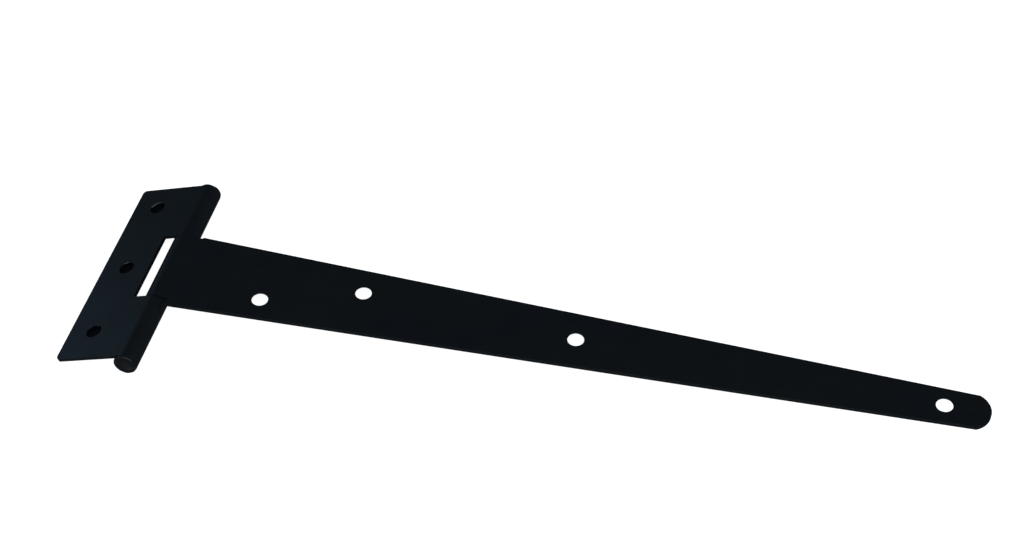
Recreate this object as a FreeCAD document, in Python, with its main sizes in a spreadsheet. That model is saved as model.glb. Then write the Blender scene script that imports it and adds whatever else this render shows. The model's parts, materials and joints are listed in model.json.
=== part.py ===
"""T hinge: a cross leaf and a tapered strap, rolled from sheet steel round one peened pin.

Units are millimetres. The hinge lies on a flat surface with its knuckles down and its
mounting faces up: the far edge of the cross leaf and the tip of the strap touch the
surface, and the stiff joint holds the barrel just off it. X runs along the strap, Y along
the pin and Z is up. The origin is the middle of the footprint, on the surface.
"""
import FreeCAD, Part
import math
import os
import Sketcher

SIZES = {
    "sheet_thickness": 1.5,
    "edge_round": 0.3,
    "pin_diameter": 5.6,
    "pin_clearance": 0.05,
    "pin_head_diameter": 8.4,
    "pin_head_thickness": 1.5,
    "pin_head_rim": 0.9,
    "roll_seam_angle": 34.0,
    "strap_length": 300.0,
    "strap_root_width": 35.1,
    "strap_tip_width": 14.6,
    "strap_tip_bulge": 4.5,
    "strap_knuckle_width": 31.5,
    "strap_shoulder": 7.5,
    "strap_near_shoulder": 5.6,
    "strap_corner_round": 0.5,
    "knuckle_offset": 1.2,
    "leaf_length": 89.6,
    "leaf_reach": 27.5,
    "leaf_corner_round": 1.5,
    "notch_length": 32.0,
    "notch_depth": 7.1,
    "hole_diameter": 6.0,
    "countersink_diameter": 8.6,
    "countersink_angle": 90.0,
    "leaf_hole_reach": 17.0,
    "leaf_hole_spacing": 32.8,
    "first_hole_along": 38.1,
    "first_hole_across": -7.7,
    "second_hole_along": 73.7,
    "second_hole_across": 4.1,
    "third_hole_along": 153.5,
    "tip_hole_along": 283.8,
    "barrel_lift": 1.2,
}

BARREL_RADIUS = "Sizes.pin_diameter / 2 + Sizes.pin_clearance + Sizes.sheet_thickness"
BORE_RADIUS = "Sizes.pin_diameter / 2 + Sizes.pin_clearance"
ORIGIN_POINT = (-1, 1)
HORIZONTAL_AXIS = -1
VERTICAL_AXIS = -2
START, END, CENTRE = 1, 2, 3
NEAR = 0.01


def make_sheet(doc):
    """Write the driving sizes into the spreadsheet, one named cell each."""
    sheet = doc.addObject("Spreadsheet::Sheet", "Sizes")
    for row, (name, value) in enumerate(SIZES.items(), start=1):
        sheet.set(f"A{row}", name.replace("_", " "))
        sheet.set(f"B{row}", str(value))
        sheet.setAlias(f"B{row}", name)
    doc.recompute()
    return sheet


def make_body(doc, name):
    body = doc.addObject("PartDesign::Body", name)
    body.Label = name
    return body


def make_sketch(body, name, role, height=None):
    """Attach a sketch to one of the body's own origin planes, raised by an expression."""
    sketch = body.newObject("Sketcher::SketchObject", name)
    planes = body.Origin.OriginFeatures
    plane = next(feature for feature in planes if feature.Role == role)
    sketch.AttachmentSupport = [(plane, "")]
    sketch.MapMode = "FlatFace"
    if height:
        sketch.setExpression(".AttachmentOffset.Base.z", height)
    return sketch


def constrain(sketch, expression, kind, *arguments):
    """Add a dimension and tie it to the cells."""
    index = sketch.addConstraint(Sketcher.Constraint(kind, *arguments))
    sketch.setExpression(f"Constraints[{index}]", expression)


def place_point(sketch, geometry, end, across, up):
    """Tie one point of a curve to the cells, measured from the sketch's origin."""
    point = sketch.getPoint(geometry, end)
    for kind, expression, now in (("DistanceX", across, point.x), ("DistanceY", up, point.y)):
        if expression == "0":
            axis = VERTICAL_AXIS if kind == "DistanceX" else HORIZONTAL_AXIS
            sketch.addConstraint(Sketcher.Constraint("PointOnObject", geometry, end, axis))
        else:
            constrain(sketch, expression, kind, *ORIGIN_POINT, geometry, end, now)


def draw_outline(sketch, corners, arcs=None):
    """Closed outline of straight sides, save where arcs gives a side its own curve.

    Each corner is (x, y, x expression, y expression), and side n starts at corner n.
    """
    arcs = arcs or {}
    points = [FreeCAD.Vector(x, y, 0) for x, y, _, _ in corners]
    count = len(points)
    ends = []
    for index, point in enumerate(points):
        side = arcs.get(index) or Part.LineSegment(point, points[(index + 1) % count])
        sketch.addGeometry(side, False)
        forward = sketch.getPoint(index, START).distanceToPoint(point) < NEAR
        ends.append((START, END) if forward else (END, START))
    for index in range(count):
        after = (index + 1) % count
        joint = Sketcher.Constraint("Coincident", index, ends[index][1], after, ends[after][0])
        sketch.addConstraint(joint)
    for index, (_, _, across, up) in enumerate(corners):
        place_point(sketch, index, ends[index][0], across, up)


def mirrored(half_outline):
    """The same corners on the other side of the X axis, in the order that closes the outline."""
    return [(x, -y, across, f"-({up})") for x, y, across, up in reversed(half_outline)]


def pad(body, name, sketch, length, midplane=False):
    feature = body.newObject("PartDesign::Pad", name)
    feature.Profile = sketch
    feature.Midplane = midplane
    feature.setExpression("Length", length)
    return feature


def draw_roll(sketch, side):
    """Section of a knuckle: a ring that leaves the sheet at the top and stops at the seam.

    side is the X direction in which the sheet runs away from the knuckle.
    """
    outer = SIZES["pin_diameter"] / 2 + SIZES["pin_clearance"] + SIZES["sheet_thickness"]
    inner = outer - SIZES["sheet_thickness"]
    seam = math.radians(SIZES["roll_seam_angle"])
    top = math.pi / 2
    first, last = (top, seam + 2 * math.pi) if side > 0 else (math.pi - seam, top + 2 * math.pi)
    middle = FreeCAD.Vector(0, 0, 0)
    up = FreeCAD.Vector(0, 0, 1)
    for radius in (outer, inner):
        sketch.addGeometry(Part.ArcOfCircle(Part.Circle(middle, up, radius), first, last), False)
    seam_end, top_end = (END, START) if side > 0 else (START, END)
    for end in (seam_end, top_end):
        line = Part.LineSegment(sketch.getPoint(1, end), sketch.getPoint(0, end))
        sketch.addGeometry(line, False)
    for line, end in ((2, seam_end), (3, top_end)):
        sketch.addConstraint(Sketcher.Constraint("Coincident", line, START, 1, end))
        sketch.addConstraint(Sketcher.Constraint("Coincident", line, END, 0, end))
    for arc, expression, radius in ((0, BARREL_RADIUS, outer), (1, BORE_RADIUS, inner)):
        sketch.addConstraint(Sketcher.Constraint("Coincident", arc, CENTRE, *ORIGIN_POINT))
        constrain(sketch, expression, "Radius", arc, radius)
    sketch.addConstraint(Sketcher.Constraint("PointOnObject", 3, END, VERTICAL_AXIS))
    sketch.addConstraint(Sketcher.Constraint("PointOnObject", 3, START, VERTICAL_AXIS))
    sketch.addConstraint(Sketcher.Constraint("PointOnObject", *ORIGIN_POINT, 2))
    turn = "Sizes.roll_seam_angle * 1 deg"
    angle = seam
    if side < 0:
        turn = f"180 deg - {turn}"
        angle = math.pi - seam
    constrain(sketch, turn, "Angle", 2, angle)


def countersunk_holes(doc, body, name, centres):
    """Screw holes through the sheet, countersunk from the knuckle side."""
    sketch = make_sketch(body, f"{name}_centres", "XY_Plane", BORE_RADIUS)
    radius = SIZES["hole_diameter"] / 2
    for index, (x, y, across, up) in enumerate(centres):
        circle = Part.Circle(FreeCAD.Vector(x, y, 0), FreeCAD.Vector(0, 0, 1), radius)
        sketch.addGeometry(circle, False)
        place_point(sketch, index, CENTRE, across, up)
        constrain(sketch, "Sizes.hole_diameter / 2", "Radius", index, radius)
    doc.recompute()
    before = body.Shape.Volume
    hole = body.newObject("PartDesign::Hole", name)
    hole.Profile = sketch
    doc.recompute()
    hole.Threaded = False
    hole.DepthType = "ThroughAll"
    hole.Reversed = True
    hole.setExpression("Diameter", "Sizes.hole_diameter")
    hole.HoleCutType = "Countersink"
    hole.HoleCutCustomValues = True
    hole.setExpression("HoleCutDiameter", "Sizes.countersink_diameter")
    hole.setExpression("HoleCutCountersinkAngle", "Sizes.countersink_angle")
    doc.recompute()
    if body.Shape.Volume >= before:
        raise RuntimeError(f"{name} cut nothing")


def round_edges(doc, body, name, size, wanted):
    """Fillet every edge of the body for which wanted(edge) is true."""
    base = body.Tip
    names = [f"Edge{i}" for i, edge in enumerate(base.Shape.Edges, start=1) if wanted(edge)]
    if not names:
        raise RuntimeError(f"{name} found no edge")
    fillet = body.newObject("PartDesign::Fillet", name)
    fillet.Base = (base, names)
    fillet.setExpression("Radius", size)
    doc.recompute()


def is_upright(edge):
    """True for a straight edge through the thickness of the sheet."""
    box = edge.BoundBox
    return box.XLength < NEAR and box.YLength < NEAR


def build_strap(doc):
    """The tapered strap, with one rolled knuckle just off the middle of its root."""
    body = make_body(doc, "strap")
    shoulder = SIZES["strap_shoulder"]
    near_shoulder = SIZES["strap_near_shoulder"]
    knuckle = SIZES["strap_knuckle_width"] / 2
    root = SIZES["strap_root_width"] / 2
    tip = SIZES["strap_tip_width"] / 2
    length = SIZES["strap_length"]
    corner = length - SIZES["strap_tip_bulge"]
    corner_cell = "Sizes.strap_length - Sizes.strap_tip_bulge"
    offset = SIZES["knuckle_offset"]
    far_cell = "Sizes.knuckle_offset + Sizes.strap_knuckle_width / 2"
    near_cell = "Sizes.knuckle_offset - Sizes.strap_knuckle_width / 2"
    blank = make_sketch(body, "strap_outline", "XY_Plane", BORE_RADIUS)
    far_side = [
        (0, offset + knuckle, "0", far_cell),
        (shoulder, offset + knuckle, "Sizes.strap_shoulder", far_cell),
        (shoulder, root, "Sizes.strap_shoulder", "Sizes.strap_root_width / 2"),
        (corner, tip, corner_cell, "Sizes.strap_tip_width / 2"),
    ]
    near_side = [
        (corner, -tip, corner_cell, "-Sizes.strap_tip_width / 2"),
        (near_shoulder, -root, "Sizes.strap_near_shoulder", "-Sizes.strap_root_width / 2"),
        (near_shoulder, offset - knuckle, "Sizes.strap_near_shoulder", near_cell),
        (0, offset - knuckle, "0", near_cell),
    ]
    crown = FreeCAD.Vector(length, 0, 0)
    tip_side = len(far_side) - 1
    tip_arc = Part.Arc(FreeCAD.Vector(corner, tip, 0), crown, FreeCAD.Vector(corner, -tip, 0))
    draw_outline(blank, far_side + near_side, {tip_side: tip_arc})
    on_tip = blank.addGeometry(Part.Point(crown), True)
    place_point(blank, on_tip, START, "Sizes.strap_length", "0")
    blank.addConstraint(Sketcher.Constraint("PointOnObject", on_tip, START, tip_side))
    pad(body, "strap_sheet", blank, "Sizes.sheet_thickness")
    roll = make_sketch(body, "strap_roll_section", "XZ_Plane", "-Sizes.knuckle_offset")
    draw_roll(roll, 1)
    pad(body, "strap_roll", roll, "Sizes.strap_knuckle_width", midplane=True)
    doc.recompute()
    round_edges(doc, body, "strap_corners", "Sizes.strap_corner_round", is_shoulder_corner)
    countersunk_holes(doc, body, "strap_screw_holes", [
        hole_at("first_hole"),
        hole_at("second_hole"),
        (SIZES["third_hole_along"], 0, "Sizes.third_hole_along", "0"),
        (SIZES["tip_hole_along"], 0, "Sizes.tip_hole_along", "0"),
    ])
    round_edges(doc, body, "strap_rounded_edges", "Sizes.edge_round", is_sheared_edge)
    return body


def hole_at(name):
    """Place of a staggered strap hole, as values and as cells."""
    along, across = f"{name}_along", f"{name}_across"
    return SIZES[along], SIZES[across], f"Sizes.{along}", f"Sizes.{across}"


def is_shoulder_corner(edge):
    """The two outer corners where the strap's taper starts."""
    box = edge.BoundBox
    shoulders = (SIZES["strap_shoulder"], SIZES["strap_near_shoulder"])
    at_shoulder = min(abs(box.Center.x - shoulder) for shoulder in shoulders) < NEAR
    outside = abs(abs(box.Center.y) - SIZES["strap_root_width"] / 2) < NEAR
    return is_upright(edge) and at_shoulder and outside


def is_sheared_edge(edge):
    """An outline edge of either face of the flat sheet, holes and knuckle left out."""
    box = edge.BoundBox
    level = box.ZLength < NEAR
    outer = SIZES["pin_diameter"] / 2 + SIZES["pin_clearance"] + SIZES["sheet_thickness"]
    on_face = min(abs(box.Center.z - outer), abs(box.Center.z - outer + SIZES["sheet_thickness"])) < NEAR
    is_hole = isinstance(edge.Curve, Part.Circle) and len(edge.Vertexes) == 1
    at_root = box.XLength < NEAR and abs(box.Center.x) < NEAR
    return level and on_face and not is_hole and not at_root


def build_cross_leaf(doc):
    """The cross leaf, with a rolled knuckle on each side of its notch."""
    body = make_body(doc, "cross_leaf")
    reach = SIZES["leaf_reach"]
    half = SIZES["leaf_length"] / 2
    blank = make_sketch(body, "leaf_outline", "XY_Plane", BORE_RADIUS)
    draw_outline(blank, [
        (0, -half, "0", "-Sizes.leaf_length / 2"),
        (0, half, "0", "Sizes.leaf_length / 2"),
        (-reach, half, "-Sizes.leaf_reach", "Sizes.leaf_length / 2"),
        (-reach, -half, "-Sizes.leaf_reach", "-Sizes.leaf_length / 2"),
    ])
    pad(body, "leaf_sheet", blank, "Sizes.sheet_thickness")
    roll = make_sketch(body, "leaf_roll_section", "XZ_Plane")
    draw_roll(roll, -1)
    pad(body, "leaf_roll", roll, "Sizes.leaf_length", midplane=True)
    doc.recompute()
    before = body.Shape.Volume
    notch = make_sketch(body, "notch_outline", "XY_Plane")
    offset, depth = SIZES["knuckle_offset"], SIZES["notch_depth"]
    near, far = offset - SIZES["notch_length"] / 2, offset + SIZES["notch_length"] / 2
    near_cell = "Sizes.knuckle_offset - Sizes.notch_length / 2"
    far_cell = "Sizes.knuckle_offset + Sizes.notch_length / 2"
    draw_outline(notch, [
        (-depth, near, "-Sizes.notch_depth", near_cell),
        (reach, near, "Sizes.leaf_reach", near_cell),
        (reach, far, "Sizes.leaf_reach", far_cell),
        (-depth, far, "-Sizes.notch_depth", far_cell),
    ])
    cut = body.newObject("PartDesign::Pocket", "notch")
    cut.Profile = notch
    cut.Type = "ThroughAll"
    cut.Midplane = True
    doc.recompute()
    if body.Shape.Volume >= before:
        raise RuntimeError("the notch cut nothing")
    round_edges(doc, body, "leaf_corners", "Sizes.leaf_corner_round", is_leaf_corner)
    centres = [
        (-SIZES["leaf_hole_reach"], offset + step * SIZES["leaf_hole_spacing"],
         "-Sizes.leaf_hole_reach", f"Sizes.knuckle_offset + ({step}) * Sizes.leaf_hole_spacing")
        for step in (-1, 0, 1)
    ]
    countersunk_holes(doc, body, "leaf_screw_holes", centres)
    round_edges(doc, body, "leaf_rounded_edges", "Sizes.edge_round", is_sheared_edge)
    return body


def is_leaf_corner(edge):
    return is_upright(edge) and abs(edge.BoundBox.Center.x + SIZES["leaf_reach"]) < NEAR


def build_hinge_pin(doc):
    """The pin: a straight shank with both ends peened over into low round heads."""
    body = make_body(doc, "hinge_pin")
    shank = SIZES["pin_diameter"] / 2
    head = SIZES["pin_head_diameter"] / 2
    inside = SIZES["leaf_length"] / 2
    rim = SIZES["pin_head_rim"]
    outside = inside + SIZES["pin_head_thickness"]
    inside_cell = "Sizes.leaf_length / 2"
    rim_cell = f"{inside_cell} + Sizes.pin_head_rim"
    outside_cell = f"{inside_cell} + Sizes.pin_head_thickness"
    section = make_sketch(body, "pin_section", "XY_Plane")
    half_section = [
        (0, outside, "0", outside_cell),
        (head, inside + rim, "Sizes.pin_head_diameter / 2", rim_cell),
        (head, inside, "Sizes.pin_head_diameter / 2", inside_cell),
        (shank, inside, "Sizes.pin_diameter / 2", inside_cell),
    ]
    corners = half_section + mirrored(half_section)
    points = [FreeCAD.Vector(x, y, 0) for x, y, _, _ in corners]
    domes = {0: dome_arc(points[0], points[1]), len(points) - 2: dome_arc(points[-1], points[-2])}
    draw_outline(section, corners, domes)
    for side in domes:
        constraint = Sketcher.Constraint("PointOnObject", side, CENTRE, VERTICAL_AXIS)
        section.addConstraint(constraint)
    turn = body.newObject("PartDesign::Revolution", "pin_turned")
    turn.Profile = section
    turn.ReferenceAxis = (section, ["V_Axis"])
    turn.Angle = 360
    doc.recompute()
    return body


def dome_arc(crown, rim):
    """Arc from the rim to the crown, centred on the pin's axis."""
    rise = abs(crown.y - rim.y)
    radius = (rim.x ** 2 + rise ** 2) / (2 * rise)
    side = math.copysign(1, crown.y)
    middle = FreeCAD.Vector(0, crown.y - side * radius, 0)
    circle = Part.Circle(middle, FreeCAD.Vector(0, 0, 1), radius)
    rim_angle = math.atan2(rim.y - middle.y, rim.x)
    first, last = sorted((rim_angle, side * math.pi / 2))
    return Part.ArcOfCircle(circle, first, last)


def resting_tilts():
    """Angles at which the strap's tip and the leaf's far edge reach the surface."""
    underside = SIZES["pin_diameter"] / 2 + SIZES["pin_clearance"]
    height = underside + SIZES["sheet_thickness"] + SIZES["barrel_lift"]

    def tilt(reach):
        span = math.hypot(reach, underside)
        return math.asin(height / span) + math.atan(underside / reach)

    return height, tilt(SIZES["strap_length"]), tilt(SIZES["leaf_reach"])


def place_in_rest_pose(doc, strap, leaf, pin):
    """Lay the hinge on the surface and move the middle of its footprint to the origin."""
    height, strap_tilt, leaf_tilt = resting_tilts()
    across = FreeCAD.Vector(0, 1, 0)
    axis = FreeCAD.Vector(0, 0, height)
    strap.Placement = FreeCAD.Placement(axis, FreeCAD.Rotation(across, math.degrees(strap_tilt)))
    leaf.Placement = FreeCAD.Placement(axis, FreeCAD.Rotation(across, -math.degrees(leaf_tilt)))
    pin.Placement = FreeCAD.Placement(axis, FreeCAD.Rotation())
    doc.recompute()
    footprint = Part.makeCompound([strap.Shape, leaf.Shape, pin.Shape]).optimalBoundingBox(False)
    middle = FreeCAD.Vector(footprint.Center.x, footprint.Center.y, footprint.ZMin)
    for body in (strap, leaf, pin):
        body.Placement.Base = body.Placement.Base - middle
    doc.recompute()


def check_document(doc, parts):
    for item in doc.Objects:
        if "Invalid" in item.State or "Error" in item.State:
            raise RuntimeError(f"{item.Name} did not recompute: {item.State}")
    for part in parts:
        if part.Shape.isNull() or not part.Shape.isValid() or len(part.Shape.Solids) != 1:
            raise RuntimeError(f"{part.Label} is not one valid solid")


def main():
    os.makedirs("parts", exist_ok=True)
    doc = FreeCAD.newDocument("THinge")
    make_sheet(doc)
    strap = build_strap(doc)
    leaf = build_cross_leaf(doc)
    pin = build_hinge_pin(doc)
    place_in_rest_pose(doc, strap, leaf, pin)
    check_document(doc, (strap, leaf, pin))
    for part in (strap, leaf, pin):
        part.Shape.exportStep(f"parts/{part.Label}.step")
        print(part.Label, round(part.Shape.Volume, 1), part.Placement)


main()
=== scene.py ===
"""Looks of a black T hinge: a cross leaf and a long tapered strap on one peened pin.

The file is laid out as an add-on and is run as a script. Every piece is built in metres in
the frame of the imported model, flat about the pin's axis first and then turned to rest.
"""
import json
import math

import bmesh
import bpy
from bpy.props import FloatProperty, FloatVectorProperty, IntProperty, PointerProperty
from mathutils import Matrix, Vector, noise


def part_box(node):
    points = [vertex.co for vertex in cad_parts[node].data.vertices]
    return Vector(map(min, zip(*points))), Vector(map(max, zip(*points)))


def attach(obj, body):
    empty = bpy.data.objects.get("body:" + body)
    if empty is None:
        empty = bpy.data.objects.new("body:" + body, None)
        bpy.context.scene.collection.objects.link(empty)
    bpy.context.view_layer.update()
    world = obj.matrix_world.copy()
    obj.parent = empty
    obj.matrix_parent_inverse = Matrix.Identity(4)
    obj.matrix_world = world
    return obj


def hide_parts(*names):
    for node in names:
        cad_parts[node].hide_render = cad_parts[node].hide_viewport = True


bl_info = {
    "name": "T Hinge",
    "version": (1, 0, 0),
    "blender": (4, 5, 0),
    "location": "3D View > Sidebar > T Hinge",
    "description": "Builds a black sheet-steel T hinge from its cross leaf, strap and pin",
    "category": "Add Mesh",
}

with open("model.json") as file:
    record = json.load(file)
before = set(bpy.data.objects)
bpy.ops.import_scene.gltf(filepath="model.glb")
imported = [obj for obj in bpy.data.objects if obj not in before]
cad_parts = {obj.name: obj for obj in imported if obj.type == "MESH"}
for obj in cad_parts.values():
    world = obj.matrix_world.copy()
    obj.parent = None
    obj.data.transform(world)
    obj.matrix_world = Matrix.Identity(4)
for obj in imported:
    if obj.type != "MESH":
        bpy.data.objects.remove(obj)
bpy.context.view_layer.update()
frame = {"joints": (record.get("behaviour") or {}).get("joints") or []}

PIN_JOINT = frame["joints"][0]
PIN_AXIS = Vector(PIN_JOINT["pos_m"])
LEAF_LOW, LEAF_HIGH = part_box("cross_leaf")
PIN_LOW, PIN_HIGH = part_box("hinge_pin")
# Numbers that the meshes carry on their vertices for the finish.
EDGE_MARK = "edge_mark"
# The second mark is rubbed steel on the pin heads and a painted highlight on the walls of the screw
# holes.
RUB_AND_HIGHLIGHT_MARK = "rub_and_highlight_mark"

# Every length below is in metres.
SAME_PLACE = 1e-6
MERGE_DISTANCE = 1e-7

# The strap and the cross leaf: roundings, facets, and what counts as a sharp edge.
SHEET_SHARP = math.radians(40)
MOUTH_ROUND = 0.00007
SINK_ROUND = 0.00012
HOLE_WALL_SKIN = 0.00003
TIP_STEPS = 28
SHOULDER_STEPS = 5
CORNER_STEPS = 6

# The pin's heads: rounding, facets and hammer marks.
HEAD_SHARP = math.radians(15)
HEAD_ROUND = 0.00028
HEAD_EDGE_WEAR = 0.15
HEAD_RUB = 0.05
DOME_STEPS = 14
PIN_STEPS = 72
BLOWS_PER_METRE = 520
RIPPLES_PER_METRE = 1500

# Patterns in the enamel.
CLOUD_SIZE = 0.030
SMUDGE_SIZE = 0.009
GRAIN_SIZE = 0.0012
GRAIN_STRETCH = (0.06, 1.0, 1.0)
GRAIN_DEPTH = 0.000003
SPECK_SIZE = 0.0007
PATCH_SIZE = 0.0035
SAG_SIZE = 0.012
SAG_DEPTH = 0.00006
PIN_GLOSS = 0.04

# Painted shade: a dark sheet laid on the floor under the cross leaf, seen through its holes; how
# far it stops short of the leaf's edges.
SHADE_SIDE_GAP = 0.0022
SHADE_NEAR_GAP = 0.0100
SHADE_FAR_GAP = 0.0025
SHADE_PAST_HOLES = 0.0050
SHADE_LIFT = 0.00002
SHADE_COLOUR = (0.0090, 0.0130, 0.0190, 1.0)

# Lights, given as their place, the side of the square and their colour.
WHITE = (1.0, 1.0, 1.0)
COOL_WHITE = (0.36, 0.66, 1.0)
KEY_DISTANCE = 1.5
KEY_SIZE = 1.2
LEFT_FILL_PLACE = (-1.5, -0.9, 1.0)
RIGHT_FILL_PLACE = (1.5, -0.7, 1.0)
FILL_SIZE = 0.9
SHEEN_PLACE = (-0.50, 0.14, 0.19)
SHEEN_SIZE = 0.22

# The room that the enamel mirrors, by height on a sphere from -1 to 1.
ROOM_COLOUR = (0.62, 0.84, 1.0, 1.0)
HORIZON_BLEND = (-0.05, 0.05)
CEILING_BLEND = (0.10, 0.50)

SENSOR_WIDTH = 36.0
CLIP_START = 0.01
CLIP_END = 50.0


class HingeSheet(bpy.types.PropertyGroup):
    """Sizes that the strap and the cross leaf share."""

    thickness: FloatProperty(
        name="Sheet thickness", description="Thickness of the steel sheet",
        default=0.0015, min=0.0005, unit="LENGTH", precision=5)
    barrel_radius: FloatProperty(
        name="Barrel radius", description="Outer radius of the rolled knuckles",
        default=0.00435, min=0.002, unit="LENGTH", precision=5)
    edge_round: FloatProperty(
        name="Edge round", description="Rounding of the sheared edges",
        default=0.0003, min=0.0, unit="LENGTH", precision=5)
    seam_angle: FloatProperty(
        name="Seam angle", description="Height at which the end of a roll stops",
        default=math.radians(34), subtype="ANGLE")
    knuckle_offset: FloatProperty(
        name="Knuckle offset", description="From the middle of the pin to the middle of the notch",
        default=0.0012, unit="LENGTH", precision=5)
    hole_radius: FloatProperty(
        name="Hole radius", description="Radius of a screw hole",
        default=0.0030, min=0.001, unit="LENGTH", precision=5)
    countersink_radius: FloatProperty(
        name="Countersink radius", description="Radius of a countersink at its mouth",
        default=0.0043, min=0.001, unit="LENGTH", precision=5)
    roll_steps: IntProperty(
        name="Roll steps", description="Facets round a rolled knuckle",
        default=76, min=12)
    hole_steps: IntProperty(
        name="Hole steps", description="Facets round a screw hole",
        default=64, min=12)


class HingeStrap(bpy.types.PropertyGroup):
    """Sizes of the tapered strap, measured from the pin's axis."""

    length: FloatProperty(
        name="Length", description="From the pin's axis to the tip",
        default=0.29996, unit="LENGTH", precision=5)
    root_width: FloatProperty(
        name="Root width", description="Width where the taper starts",
        default=0.0351, unit="LENGTH", precision=5)
    tip_width: FloatProperty(
        name="Tip width", description="Width between the corners of the tip",
        default=0.0146, unit="LENGTH", precision=5)
    tip_bulge: FloatProperty(
        name="Tip bulge", description="How far the round tip stands past its corners",
        default=0.0045, unit="LENGTH", precision=5)
    knuckle_width: FloatProperty(
        name="Knuckle width", description="Width of the strap's own knuckle",
        default=0.0315, unit="LENGTH", precision=5)
    shoulder: FloatProperty(
        name="Shoulder", description="From the pin's axis to the start of the taper",
        default=0.0075, unit="LENGTH", precision=5)
    near_shoulder: FloatProperty(
        name="Near shoulder", description="The same on the strap's nearer edge",
        default=0.0056, unit="LENGTH", precision=5)
    corner_round: FloatProperty(
        name="Corner round", description="Rounding of the two shoulder corners",
        default=0.0005, unit="LENGTH", precision=5)
    first_hole: FloatVectorProperty(
        name="First hole", description="Along and across the strap",
        size=2, default=(0.0381, -0.0077), unit="LENGTH", precision=5)
    second_hole: FloatVectorProperty(
        name="Second hole", description="Along and across the strap",
        size=2, default=(0.0737, 0.0041), unit="LENGTH", precision=5)
    third_hole: FloatVectorProperty(
        name="Third hole", description="Along and across the strap",
        size=2, default=(0.1535, 0.0), unit="LENGTH", precision=5)
    tip_hole: FloatVectorProperty(
        name="Tip hole", description="Along and across the strap",
        size=2, default=(0.2838, 0.0), unit="LENGTH", precision=5)


class HingeLeaf(bpy.types.PropertyGroup):
    """Sizes of the cross leaf, measured from the pin's axis."""

    length: FloatProperty(
        name="Length", description="Length of the leaf along the pin",
        default=LEAF_HIGH.y - LEAF_LOW.y, unit="LENGTH", precision=5)
    reach: FloatProperty(
        name="Reach", description="From the pin's axis to the far edge",
        default=0.02743, unit="LENGTH", precision=5)
    corner_round: FloatProperty(
        name="Corner round", description="Rounding of the two far corners",
        default=0.0015, unit="LENGTH", precision=5)
    notch_length: FloatProperty(
        name="Notch length", description="Room along the pin for the strap's knuckle",
        default=0.0320, unit="LENGTH", precision=5)
    notch_depth: FloatProperty(
        name="Notch depth", description="From the pin's axis to the bottom of the notch",
        default=0.0071, unit="LENGTH", precision=5)
    hole_reach: FloatProperty(
        name="Hole reach", description="From the pin's axis to the row of holes",
        default=0.0170, unit="LENGTH", precision=5)
    hole_spacing: FloatProperty(
        name="Hole spacing", description="Between neighbouring holes",
        default=0.0328, unit="LENGTH", precision=5)


class HingePin(bpy.types.PropertyGroup):
    """Sizes of the pin and of its hammered heads."""

    shank_radius: FloatProperty(
        name="Shank radius", description="Radius of the pin inside the knuckles",
        default=0.0028, unit="LENGTH", precision=5)
    head_radius: FloatProperty(
        name="Head radius", description="Radius of a peened head",
        default=(PIN_HIGH.x - PIN_LOW.x) / 2, unit="LENGTH", precision=5)
    head_thickness: FloatProperty(
        name="Head thickness", description="How far a head stands past the leaf",
        default=PIN_HIGH.y - LEAF_HIGH.y, unit="LENGTH", precision=5)
    head_rim: FloatProperty(
        name="Head rim", description="Height of the straight rim of a head",
        default=0.0009, unit="LENGTH", precision=5)
    hammer_depth: FloatProperty(
        name="Hammer depth", description="Depth of the hammer marks on a head",
        default=0.00016, unit="LENGTH", precision=5)


class HingeFinish(bpy.types.PropertyGroup):
    """Colours and texture of the baked black enamel."""

    blue_black: FloatVectorProperty(
        name="Blue black", description="The cooler tint of the enamel",
        subtype="COLOR", size=4, min=0.0, max=1.0, default=(0.0046, 0.0060, 0.0098, 1.0))
    green_black: FloatVectorProperty(
        name="Green black", description="The greener tint of the enamel",
        subtype="COLOR", size=4, min=0.0, max=1.0, default=(0.0046, 0.0068, 0.0082, 1.0))
    thin_enamel: FloatVectorProperty(
        name="Thin enamel", description="Enamel drawn thin over a sharp edge",
        subtype="COLOR", size=4, min=0.0, max=1.0, default=(0.010, 0.012, 0.014, 1.0))
    # This steel colour is also a painted highlight on the walls of the screw holes.
    bare_steel_and_highlight: FloatVectorProperty(
        name="Bare steel", description="Steel showing where the enamel is rubbed away",
        subtype="COLOR", size=4, min=0.0, max=1.0, default=(0.20, 0.20, 0.205, 1.0))
    roughness: FloatProperty(
        name="Roughness", description="Middle roughness of the enamel",
        default=0.36, min=0.0, max=1.0)
    peel_size: FloatProperty(
        name="Orange peel size", description="Size of the fine ripples in the enamel",
        default=0.0011, unit="LENGTH", precision=5)
    peel_depth: FloatProperty(
        name="Orange peel depth", description="Depth of the fine ripples",
        default=0.000012, unit="LENGTH", precision=6)


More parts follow.
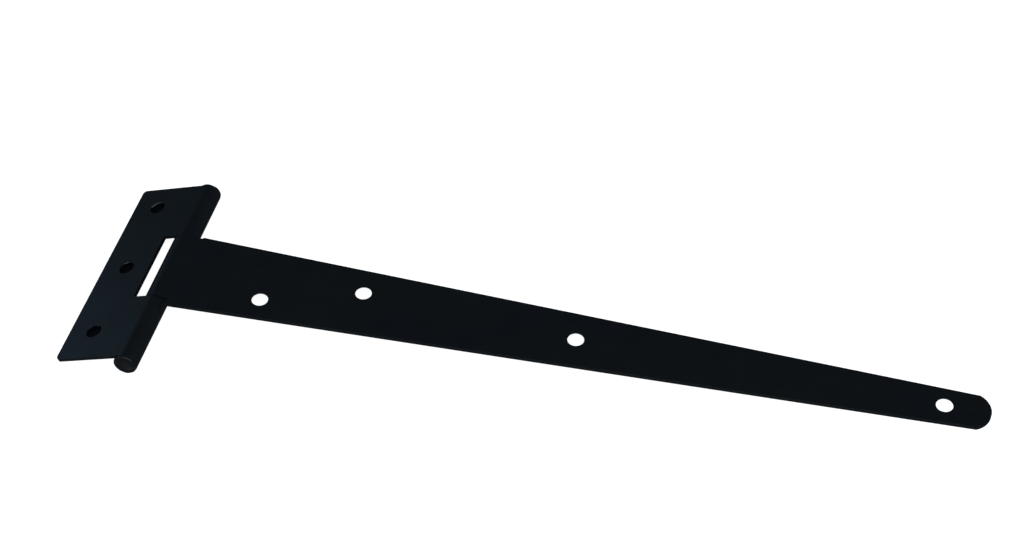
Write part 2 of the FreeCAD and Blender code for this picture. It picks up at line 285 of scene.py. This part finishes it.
class HingeStage(bpy.types.PropertyGroup):
    """Floor, lights and camera."""

    floor_colour: FloatVectorProperty(
        name="Floor colour", description="Colour of the plain floor",
        subtype="COLOR", size=4, min=0.0, max=1.0, default=(0.90, 0.90, 0.90, 1.0))
    floor_glow: FloatProperty(
        name="Floor glow", description="Light that the floor itself gives, as a light table does",
        default=0.92, min=0.0)
    wall_light: FloatProperty(
        name="Wall light", description="Brightness of the grey walls above the horizon",
        default=0.092, min=0.0)
    ceiling_light: FloatProperty(
        name="Ceiling light", description="Brightness of the dark ceiling",
        default=0.070, min=0.0)
    ground_light: FloatProperty(
        name="Ground light", description="Brightness of the dark ground that the enamel mirrors",
        default=0.035, min=0.0)
    floor_size: FloatProperty(
        name="Floor size", description="Side of the square floor",
        default=14.0, unit="LENGTH")
    key_power: FloatProperty(
        name="Key power", description="Power of the large light above the camera", default=6.0)
    fill_power: FloatProperty(
        name="Fill power", description="Power of the two side lights", default=3.0)
    sheen_power: FloatProperty(
        name="Sheen power", description="Power of the cool light that the leaf reflects",
        default=0.055)
    camera_place: FloatVectorProperty(
        name="Camera place", description="Where the camera stands",
        subtype="TRANSLATION", size=3, unit="LENGTH", precision=5,
        default=(0.13273, -0.49474, 0.55708))
    camera_pitch: FloatProperty(
        name="Camera pitch", description="How far the camera looks down",
        subtype="ANGLE", default=math.radians(45.560))
    camera_yaw: FloatProperty(
        name="Camera yaw", description="How far the camera looks to the left of +Y",
        subtype="ANGLE", default=math.radians(15.573))
    camera_roll: FloatProperty(
        name="Camera roll", description="How far the camera leans",
        subtype="ANGLE", default=math.radians(2.522))
    camera_lens: FloatProperty(
        name="Camera lens", description="Focal length in millimetres",
        default=74.138)


class Value:
    """A number from a node, which adds its Math nodes when it is used in an expression."""

    def __init__(self, finish, socket):
        self.finish = finish
        self.socket = socket

    def math(self, operation, first, second, clamp=False):
        settings = {"operation": operation, "use_clamp": clamp}
        made = self.finish.node("ShaderNodeMath", settings, {0: first, 1: second})
        return Value(self.finish, made.outputs[0])

    def __add__(self, other):
        return self.math("ADD", self, other)

    def __sub__(self, other):
        return self.math("SUBTRACT", self, other)

    def __rsub__(self, other):
        return self.math("SUBTRACT", other, self)

    def __mul__(self, other):
        return self.math("MULTIPLY", self, other)

    __radd__ = __add__
    __rmul__ = __mul__

    def ramp(self, low, high):
        """0 below low, 1 above high and a straight line between them."""
        return self.math("MULTIPLY", self - low, 1.0 / (high - low), clamp=True)


class Finish:
    """The nodes of a material or of the world, and the one method that adds a node to them."""

    def __init__(self, owner):
        owner.use_nodes = True
        self.owner = owner
        self.tree = owner.node_tree
        self.tree.nodes.clear()

    def node(self, kind, settings=None, sockets=None):
        """Add a node: its settings are made first, then its sockets are set or linked."""
        made = self.tree.nodes.new(kind)
        for name, value in (settings or {}).items():
            setattr(made, name, value)
        for key, value in (sockets or {}).items():
            if isinstance(value, Value):
                value = value.socket
            if isinstance(value, bpy.types.NodeSocket):
                self.tree.links.new(value, made.inputs[key])
            else:
                made.inputs[key].default_value = value
        return made

    def noise(self, place, size, detail=2.0, distortion=0.0):
        """Noise whose features are about size across, as a number from 0 to 1."""
        sockets = {"Vector": place, "Scale": 1.0 / size, "Detail": detail, "Distortion": distortion}
        return Value(self, self.node("ShaderNodeTexNoise", None, sockets).outputs[0])

    def stretched(self, place, stretch):
        """The same place with each axis scaled, so that a pattern runs along one axis."""
        made = self.node("ShaderNodeMapping", None, {"Vector": place, "Scale": stretch})
        return made.outputs[0]

    def mixed(self, factor, first, second):
        """A colour between two others."""
        settings = {"data_type": "RGBA", "clamp_factor": True}
        return self.node("ShaderNodeMix", settings, {0: factor, 6: first, 7: second}).outputs[2]

    def mark(self, name):
        """A number that the mesh carries on its vertices."""
        return Value(self, self.node("ShaderNodeAttribute", {"attribute_name": name}).outputs[2])


def enamel(name, looks, gloss=0.0):
    """Baked black enamel over rolled steel: tint, thin edges, rubbed spots, a painted highlight of
    lighter steel on the walls of the screw holes, and orange peel.
    """
    finish = Finish(bpy.data.materials.new(name))
    place = finish.node("ShaderNodeTexCoord").outputs["Object"]
    edge = finish.mark(EDGE_MARK)
    rub_and_highlight = finish.mark(RUB_AND_HIGHLIGHT_MARK)
    clouds = finish.noise(place, CLOUD_SIZE, 3.0, 0.4)
    smudges = finish.noise(place, SMUDGE_SIZE, 4.0, 0.6)
    grain = finish.noise(finish.stretched(place, GRAIN_STRETCH), GRAIN_SIZE, 3.0)
    specks = finish.noise(place, SPECK_SIZE, 1.0)
    patches = finish.noise(place, PATCH_SIZE, 4.0, 0.3)

    tint = finish.mixed(clouds.ramp(0.36, 0.64), tuple(looks.blue_black), tuple(looks.green_black))
    thin = edge * patches.ramp(0.40, 0.62)
    dust = specks.ramp(0.74, 0.80) * smudges.ramp(0.45, 0.65) * 0.5
    lightened = finish.mixed(thin + dust, tint, tuple(looks.thin_enamel))
    # Lighter bare steel where the enamel is rubbed on edges and pin heads; on the walls of the
    # screw holes the same steel is a painted highlight.
    rubbed_and_highlit = rub_and_highlight * patches.ramp(0.52, 0.60) + edge * patches.ramp(0.70, 0.74)
    colour = finish.mixed(rubbed_and_highlit, lightened, tuple(looks.bare_steel_and_highlight))

    roughness = (smudges.ramp(0.30, 0.70) * 0.10 + grain.ramp(0.35, 0.65) * 0.05
                 + clouds.ramp(0.35, 0.65) * 0.05 + (looks.roughness - gloss - 0.10)
                 + dust * 0.3 + rubbed_and_highlit * 0.08)
    peel = finish.noise(place, looks.peel_size, 1.5)
    sag = finish.noise(place, SAG_SIZE, 1.0)
    height = peel * looks.peel_depth + sag * SAG_DEPTH + grain * GRAIN_DEPTH
    relief = finish.node(
        "ShaderNodeBump", None, {"Strength": 0.8, "Distance": 1.0, "Height": height})
    shader = finish.node("ShaderNodeBsdfPrincipled", None, {
        "Base Color": colour,
        "Roughness": roughness,
        "Metallic": rubbed_and_highlit * 0.3,
        "Normal": relief.outputs[0],
        "Specular IOR Level": 0.5,
        "IOR": 1.5,
    })
    finish.node("ShaderNodeOutputMaterial", None, {"Surface": shader.outputs[0]})
    return finish.owner


def round_corners(bm, verts, radius, steps):
    """Round some corners of a flat face."""
    bmesh.ops.bevel(
        bm, geom=verts, offset=radius, offset_type="OFFSET", affect="VERTICES",
        segments=steps, profile=0.5, material=-1, clamp_overlap=True)


def edges_of_loop(bm):
    """The boundary of the only face, left as bare edges."""
    face = next(iter(bm.faces))
    edges = list(face.edges)
    bmesh.ops.delete(bm, geom=[face], context="FACES_ONLY")
    return edges


def wall_below(bm, edges, drop):
    """Extrude a closed loop of edges straight down, and return the new edges."""
    made = bmesh.ops.extrude_edge_only(bm, edges=edges)["geom"]
    verts = [item for item in made if isinstance(item, bmesh.types.BMVert)]
    bmesh.ops.translate(bm, verts=verts, vec=(0, 0, -drop))
    return [item for item in made if isinstance(item, bmesh.types.BMEdge)]


def plate(bm, outline, centres, sheet):
    """A flat sheet under its outline, with screw holes countersunk from below."""
    top = sheet.barrel_radius
    land = sheet.thickness - (sheet.countersink_radius - sheet.hole_radius)
    upper = list(outline)
    lower = wall_below(bm, outline, sheet.thickness)
    for x, y in centres:
        ring = bmesh.ops.create_circle(
            bm, cap_ends=False, radius=sheet.hole_radius, segments=sheet.hole_steps,
            matrix=Matrix.Translation((x, y, top)))["verts"]
        mouth = list({edge for vert in ring for edge in vert.link_edges})
        throat = wall_below(bm, mouth, land)
        sink = wall_below(bm, throat, sheet.thickness - land)
        verts = list({vert for edge in sink for vert in edge.verts})
        grow = sheet.countersink_radius / sheet.hole_radius
        bmesh.ops.scale(
            bm, verts=verts, vec=(grow, grow, 1), space=Matrix.Translation((-x, -y, 0)))
        upper += mouth
        lower += sink
    bmesh.ops.triangle_fill(bm, edges=upper, use_beauty=True, normal=(0, 0, 1))
    bmesh.ops.triangle_fill(bm, edges=lower, use_beauty=True, normal=(0, 0, -1))


def roll_knuckle(bm, low, high, turn, sheet):
    """Roll the end of the sheet between low and high round the pin's axis."""
    inside = [
        face for face in bm.faces
        if all(abs(vert.co.x) < SAME_PLACE
               and low - SAME_PLACE < vert.co.y < high + SAME_PLACE
               for vert in face.verts)
    ]
    if len(inside) != 1:
        raise RuntimeError("the end of the sheet is not one face")
    geometry = inside + list(inside[0].edges) + list(inside[0].verts)
    bmesh.ops.spin(
        bm, geom=geometry, cent=(0, 0, 0), axis=(0, turn, 0), dvec=(0, 0, 0),
        angle=math.radians(270) + sheet.seam_angle, steps=sheet.roll_steps, use_merge=False,
        use_duplicate=False, use_normal_flip=False)


def soften_edges(bm, sheet, centres):
    """Round the sheared edges and mark them for the finish; mark the walls of the holes for a
    painted highlight of lighter steel.
    """
    bmesh.ops.remove_doubles(bm, verts=bm.verts, dist=MERGE_DISTANCE)
    bmesh.ops.recalc_face_normals(bm, faces=bm.faces)
    marks = bm.verts.layers.float.new(EDGE_MARK)
    bm.verts.layers.float.new(RUB_AND_HIGHLIGHT_MARK)
    reach = sheet.countersink_radius * 1.02

    def beside_hole(edge):
        middle = (edge.verts[0].co + edge.verts[1].co) / 2
        return any(math.hypot(middle.x - x, middle.y - y) < reach for x, y in centres)

    sharp = [edge for edge in bm.edges if edge.calc_face_angle(0) > SHEET_SHARP]
    rims = [edge for edge in sharp if beside_hole(edge)]
    plain = [edge for edge in sharp if not beside_hole(edge)]
    top = sheet.barrel_radius
    mouths = [edge for edge in rims if abs(edge.verts[0].co.z - top) < SAME_PLACE]
    sinks = [
        edge for edge in rims
        if abs(edge.verts[0].co.z - top + sheet.thickness) < SAME_PLACE]
    for edges, size, steps in ((plain, sheet.edge_round, 3), (mouths, MOUTH_ROUND, 2),
                               (sinks, SINK_ROUND, 2)):
        made = bmesh.ops.bevel(
            bm, geom=edges, offset=size, offset_type="OFFSET", affect="EDGES",
            segments=steps, profile=0.5, material=-1, clamp_overlap=True,
            loop_slide=True, miter_outer="SHARP", miter_inner="SHARP")
        strip = set(made["faces"])
        for vert in made["verts"]:
            if all(face in strip for face in vert.link_faces):
                vert[marks] = 1.0
    # The walls of the screw holes get the mark at full strength: lighter steel painted there as a
    # highlight.
    rub_and_highlight = bm.verts.layers.float[RUB_AND_HIGHLIGHT_MARK]
    wall = sheet.hole_radius + HOLE_WALL_SKIN
    for vert in bm.verts:
        if any(math.hypot(vert.co.x - x, vert.co.y - y) < wall for x, y in centres):
            vert[rub_and_highlight] = 1.0


def finish_piece(bm, name, turn, material, node, body):
    """Turn a piece to its rest place, and let it stand for its CAD node."""
    rest = Matrix.Translation(PIN_AXIS) @ Matrix.Rotation(turn, 4, "Y")
    bmesh.ops.transform(bm, matrix=rest, verts=bm.verts)
    bmesh.ops.recalc_face_normals(bm, faces=bm.faces)
    for face in bm.faces:
        face.smooth = True
    mesh = bpy.data.meshes.new(name)
    bm.to_mesh(mesh)
    bm.free()
    mesh.materials.append(material)
    piece = bpy.data.objects.new(name, mesh)
    bpy.context.scene.collection.objects.link(piece)
    weigh = piece.modifiers.new("even_shading", "WEIGHTED_NORMAL")
    weigh.mode = "FACE_AREA"
    weigh.weight = 50
    weigh.keep_sharp = True
    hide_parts(node)
    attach(piece, body)


def resting_tilt(reach, sheet):
    """Angle at which a flat leaf of that reach touches the floor with its far edge."""
    under = sheet.barrel_radius - sheet.thickness
    return math.asin(PIN_AXIS.z / math.hypot(reach, under)) + math.atan(under / reach)


class HINGE_OT_build_strap(bpy.types.Operator):
    """Build the tapered strap with its rolled knuckle, countersunk holes and round tip"""

    bl_idname = "hinge.build_strap"
    bl_label = "Build strap"

    def execute(self, context):
        scene = context.scene
        sheet, strap = scene.hinge_sheet, scene.hinge_strap
        top = sheet.barrel_radius
        root, tip = strap.root_width / 2, strap.tip_width / 2
        near = sheet.knuckle_offset - strap.knuckle_width / 2
        far = sheet.knuckle_offset + strap.knuckle_width / 2
        corner = strap.length - strap.tip_bulge
        radius = (tip ** 2 + strap.tip_bulge ** 2) / (2 * strap.tip_bulge)
        swing = math.atan2(tip, radius - strap.tip_bulge)

        bm = bmesh.new()
        start = bm.verts.new((corner, -tip, top))
        bmesh.ops.spin(
            bm, geom=[start], cent=(strap.length - radius, 0, top), axis=(0, 0, 1),
            dvec=(0, 0, 0), angle=2 * swing, steps=TIP_STEPS, use_merge=False,
            use_duplicate=False, use_normal_flip=False)
        arc = sorted(bm.verts, key=lambda vert: vert.co.y)
        far_side = [bm.verts.new((x, y, top)) for x, y in (
            (strap.shoulder, root), (strap.shoulder, far), (0, far))]
        near_side = [bm.verts.new((x, y, top)) for x, y in (
            (0, near), (strap.near_shoulder, near), (strap.near_shoulder, -root))]
        bm.faces.new(arc + far_side + near_side)
        round_corners(bm, [far_side[0], near_side[2]], strap.corner_round, SHOULDER_STEPS)

        centres = [tuple(place) for place in (
            strap.first_hole, strap.second_hole, strap.third_hole, strap.tip_hole)]
        plate(bm, edges_of_loop(bm), centres, sheet)
        roll_knuckle(bm, near, far, -1, sheet)
        soften_edges(bm, sheet, centres)
        finish_piece(
            bm, "tapered_strap", resting_tilt(strap.length, sheet),
            enamel("strap_enamel", scene.hinge_finish), "strap", "strap")
        return {"FINISHED"}


class HINGE_OT_build_cross_leaf(bpy.types.Operator):
    """Build the cross leaf with its notch, two rolled knuckles and row of screw holes"""

    bl_idname = "hinge.build_cross_leaf"
    bl_label = "Build cross leaf"

    def execute(self, context):
        scene = context.scene
        sheet, leaf = scene.hinge_sheet, scene.hinge_leaf
        top = sheet.barrel_radius
        half = leaf.length / 2
        near = sheet.knuckle_offset - leaf.notch_length / 2
        far = sheet.knuckle_offset + leaf.notch_length / 2

        bm = bmesh.new()
        corners = [bm.verts.new((x, y, top)) for x, y in (
            (-leaf.reach, -half), (0, -half), (0, near), (-leaf.notch_depth, near),
            (-leaf.notch_depth, far), (0, far), (0, half), (-leaf.reach, half))]
        bm.faces.new(corners)
        round_corners(bm, [corners[0], corners[-1]], leaf.corner_round, CORNER_STEPS)

        centres = [(-leaf.hole_reach, sheet.knuckle_offset + step * leaf.hole_spacing)
                   for step in (-1, 0, 1)]
        plate(bm, edges_of_loop(bm), centres, sheet)
        roll_knuckle(bm, -half, near, 1, sheet)
        roll_knuckle(bm, far, half, 1, sheet)
        soften_edges(bm, sheet, centres)
        finish_piece(
            bm, "cross_leaf_plate", -resting_tilt(leaf.reach, sheet),
            enamel("leaf_enamel", scene.hinge_finish), "cross_leaf", "cross_leaf")
        return {"FINISHED"}


class HINGE_OT_build_pin(bpy.types.Operator):
    """Build the pin with both ends hammered over into low heads"""

    bl_idname = "hinge.build_pin"
    bl_label = "Build pin"

    def execute(self, context):
        scene = context.scene
        pin, leaf = scene.hinge_pin, scene.hinge_leaf
        inside = leaf.length / 2
        crown = inside + pin.head_thickness
        rise = pin.head_thickness - pin.head_rim
        dome = (pin.head_radius ** 2 + rise ** 2) / (2 * rise)

        bm = bmesh.new()
        start = bm.verts.new((0, crown, 0))
        bmesh.ops.spin(
            bm, geom=[start], cent=(0, crown - dome, 0), axis=(0, 0, -1), dvec=(0, 0, 0),
            angle=math.asin(pin.head_radius / dome), steps=DOME_STEPS, use_merge=False,
            use_duplicate=False, use_normal_flip=False)
        profile = sorted(bm.verts, key=lambda vert: vert.co.x)
        for x, y in ((pin.head_radius, inside + pin.head_rim * 0.45), (pin.head_radius, inside),
                     (pin.shank_radius, inside), (pin.shank_radius, 0)):
            profile.append(bm.verts.new((x, y, 0)))
            bm.edges.new(profile[-2:])
        bmesh.ops.mirror(
            bm, geom=list(bm.verts) + list(bm.edges), matrix=Matrix.Identity(4),
            merge_dist=MERGE_DISTANCE, axis="Y")
        bmesh.ops.spin(
            bm, geom=list(bm.verts) + list(bm.edges), cent=(0, 0, 0), axis=(0, 1, 0),
            dvec=(0, 0, 0), angle=2 * math.pi, steps=PIN_STEPS, use_merge=True,
            use_duplicate=False, use_normal_flip=False)
        bmesh.ops.remove_doubles(bm, verts=bm.verts, dist=MERGE_DISTANCE)
        bmesh.ops.recalc_face_normals(bm, faces=bm.faces)
        marks = bm.verts.layers.float.new(EDGE_MARK)
        rubs = bm.verts.layers.float.new(RUB_AND_HIGHLIGHT_MARK)
        sharp = [edge for edge in bm.edges if edge.calc_face_angle(0) > HEAD_SHARP
                 and abs(edge.verts[0].co.y) > inside + SAME_PLACE]
        made = bmesh.ops.bevel(
            bm, geom=sharp, offset=HEAD_ROUND, offset_type="OFFSET", affect="EDGES",
            segments=3, profile=0.5, material=-1, clamp_overlap=True)
        for vert in made["verts"]:
            vert[marks] = HEAD_EDGE_WEAR
        for vert in bm.verts:
            out = abs(vert.co.y) - inside - pin.head_rim * 0.4
            if out <= 0:
                continue
            side = math.copysign(1, vert.co.y)
            blows = noise.noise(Vector((
                vert.co.x * BLOWS_PER_METRE, side * 7.3, vert.co.z * BLOWS_PER_METRE)))
            ripple = noise.noise(Vector((
                vert.co.x * RIPPLES_PER_METRE, side * 3.1, vert.co.z * RIPPLES_PER_METRE)))
            dent = min(1.0, max(0.0, 0.5 + blows * 0.9 + ripple * 0.25))
            vert.co.y -= side * pin.hammer_depth * dent * min(1.0, out / (pin.head_rim * 0.5))
            vert[rubs] = HEAD_RUB * (1.0 - dent)
        finish_piece(
            bm, "peened_pin", 0.0, enamel("pin_enamel", scene.hinge_finish, PIN_GLOSS),
            "hinge_pin", "cross_leaf")
        return {"FINISHED"}


def add_light(name, place, size, power, colour):
    """A square soft light that faces the middle of the hinge."""
    lamp = bpy.data.lights.new(name, "AREA")
    lamp.shape = "SQUARE"
    lamp.size = size
    lamp.energy = power
    lamp.color = colour
    holder = bpy.data.objects.new(name, lamp)
    holder.location = place
    holder.rotation_euler = Vector(place).to_track_quat("Z", "Y").to_euler()
    bpy.context.scene.collection.objects.link(holder)


def lay_flat(scene, name, low, high, lift, material):
    """A flat sheet on the stage between two corners."""
    bm = bmesh.new()
    bmesh.ops.create_grid(bm, x_segments=1, y_segments=1, size=0.5)
    bmesh.ops.scale(bm, verts=bm.verts, vec=(high[0] - low[0], high[1] - low[1], 1))
    bmesh.ops.translate(
        bm, verts=bm.verts, vec=((low[0] + high[0]) / 2, (low[1] + high[1]) / 2, lift))
    mesh = bpy.data.meshes.new(name)
    bm.to_mesh(mesh)
    bm.free()
    mesh.materials.append(material)
    laid = bpy.data.objects.new(name, mesh)
    scene.collection.objects.link(laid)
    return laid


def matt(name, sockets):
    """A plain matt surface for the stage."""
    finish = Finish(bpy.data.materials.new(name))
    shader = finish.node("ShaderNodeBsdfPrincipled", None, sockets)
    finish.node("ShaderNodeOutputMaterial", None, {"Surface": shader.outputs[0]})
    return finish.owner


def lay_floor(scene):
    """Pale paper that glows, as on a light table, and that the enamel does not mirror."""
    looks = scene.hinge_stage
    half = looks.floor_size / 2
    paper = matt("floor_paper", {
        "Base Color": tuple(looks.floor_colour), "Roughness": 0.9,
        "Specular IOR Level": 0.1, "Emission Color": (1.0, 1.0, 1.0, 1.0),
        "Emission Strength": looks.floor_glow})
    floor = lay_flat(scene, "floor", (-half, -half), (half, half), 0.0, paper)
    floor.visible_glossy = False


def lay_shade(scene):
    """A dark sheet on the floor under the closed tent of the cross leaf: painted shade, seen
    through the leaf's holes.
    """
    leaf = scene.hinge_leaf
    low = (PIN_AXIS.x - leaf.reach + SHADE_SIDE_GAP, SHADE_NEAR_GAP - leaf.length / 2)
    high = (PIN_AXIS.x - leaf.hole_reach + SHADE_PAST_HOLES, leaf.length / 2 - SHADE_FAR_GAP)
    # A dark matt sheet painted as the shade under the leaf.
    painted_shade = matt("painted_shade_sheet", {
        "Base Color": SHADE_COLOUR, "Roughness": 1.0, "Specular IOR Level": 0.0})
    lay_flat(scene, "floor_shade", low, high, SHADE_LIFT, painted_shade)


def light_walls(scene):
    """Grey walls between a dark ceiling and a dark ground, as the world's own light."""
    looks = scene.hinge_stage
    walls = Finish(bpy.data.worlds.new("studio"))
    place = walls.node("ShaderNodeTexCoord").outputs["Generated"]
    height = Value(walls, walls.node("ShaderNodeSeparateXYZ", None, {0: place}).outputs[2])
    above = height.ramp(*HORIZON_BLEND)
    wall = above * (1.0 - height.ramp(*CEILING_BLEND))
    light = (wall * (looks.wall_light - looks.ceiling_light) + above
             * (looks.ceiling_light - looks.ground_light) + looks.ground_light)
    background = walls.node("ShaderNodeBackground", None, {
        "Color": ROOM_COLOUR, "Strength": light})
    walls.node("ShaderNodeOutputWorld", None, {"Surface": background.outputs[0]})
    scene.world = walls.owner


class HINGE_OT_set_stage(bpy.types.Operator):
    """Lay the pale floor, hang the soft lights and stand the camera"""

    bl_idname = "hinge.set_stage"
    bl_label = "Set stage"

    def execute(self, context):
        scene = context.scene
        looks = scene.hinge_stage

        lay_floor(scene)
        # Painted shade: a dark sheet on the floor under the cross leaf.
        lay_shade(scene)

        towards_camera = Vector(looks.camera_place)
        add_light("key_light", towards_camera * KEY_DISTANCE, KEY_SIZE, looks.key_power, WHITE)
        add_light("left_fill", LEFT_FILL_PLACE, FILL_SIZE, looks.fill_power, WHITE)
        add_light("right_fill", RIGHT_FILL_PLACE, FILL_SIZE, looks.fill_power, WHITE)
        add_light("leaf_sheen", SHEEN_PLACE, SHEEN_SIZE, looks.sheen_power, COOL_WHITE)
        light_walls(scene)
        scene.view_settings.view_transform = "Standard"

        lens = bpy.data.cameras.new("camera")
        lens.lens = looks.camera_lens
        lens.sensor_width = SENSOR_WIDTH
        lens.clip_start = CLIP_START
        lens.clip_end = CLIP_END
        camera = bpy.data.objects.new("camera", lens)
        scene.collection.objects.link(camera)
        turn = (Matrix.Rotation(looks.camera_yaw, 4, "Z")
                @ Matrix.Rotation(math.pi / 2 - looks.camera_pitch, 4, "X")
                @ Matrix.Rotation(-looks.camera_roll, 4, "Z"))
        camera.matrix_world = Matrix.Translation(looks.camera_place) @ turn
        scene.camera = camera
        return {"FINISHED"}


class HINGE_PT_sidebar(bpy.types.Panel):
    """Buttons for each part of the T hinge"""

    bl_idname = "HINGE_PT_sidebar"
    bl_label = "T Hinge"
    bl_space_type = "VIEW_3D"
    bl_region_type = "UI"
    bl_category = "T Hinge"

    def draw(self, context):
        for operator in OPERATORS:
            self.layout.operator(operator.bl_idname)


GROUPS = {
    "hinge_sheet": HingeSheet,
    "hinge_strap": HingeStrap,
    "hinge_leaf": HingeLeaf,
    "hinge_pin": HingePin,
    "hinge_finish": HingeFinish,
    "hinge_stage": HingeStage,
}
OPERATORS = (
    HINGE_OT_build_cross_leaf,
    HINGE_OT_build_strap,
    HINGE_OT_build_pin,
    HINGE_OT_set_stage,
)


def register():
    for group in GROUPS.values():
        bpy.utils.register_class(group)
    for operator in OPERATORS:
        bpy.utils.register_class(operator)
    bpy.utils.register_class(HINGE_PT_sidebar)
    for name, group in GROUPS.items():
        setattr(bpy.types.Scene, name, PointerProperty(type=group))


def unregister():
    for name in GROUPS:
        delattr(bpy.types.Scene, name)
    bpy.utils.unregister_class(HINGE_PT_sidebar)
    for operator in reversed(OPERATORS):
        bpy.utils.unregister_class(operator)
    for group in reversed(list(GROUPS.values())):
        bpy.utils.unregister_class(group)


def main():
    register()
    bpy.ops.hinge.build_cross_leaf()
    bpy.ops.hinge.build_strap()
    bpy.ops.hinge.build_pin()
    bpy.ops.hinge.set_stage()


if __name__ == "__main__":
    main()
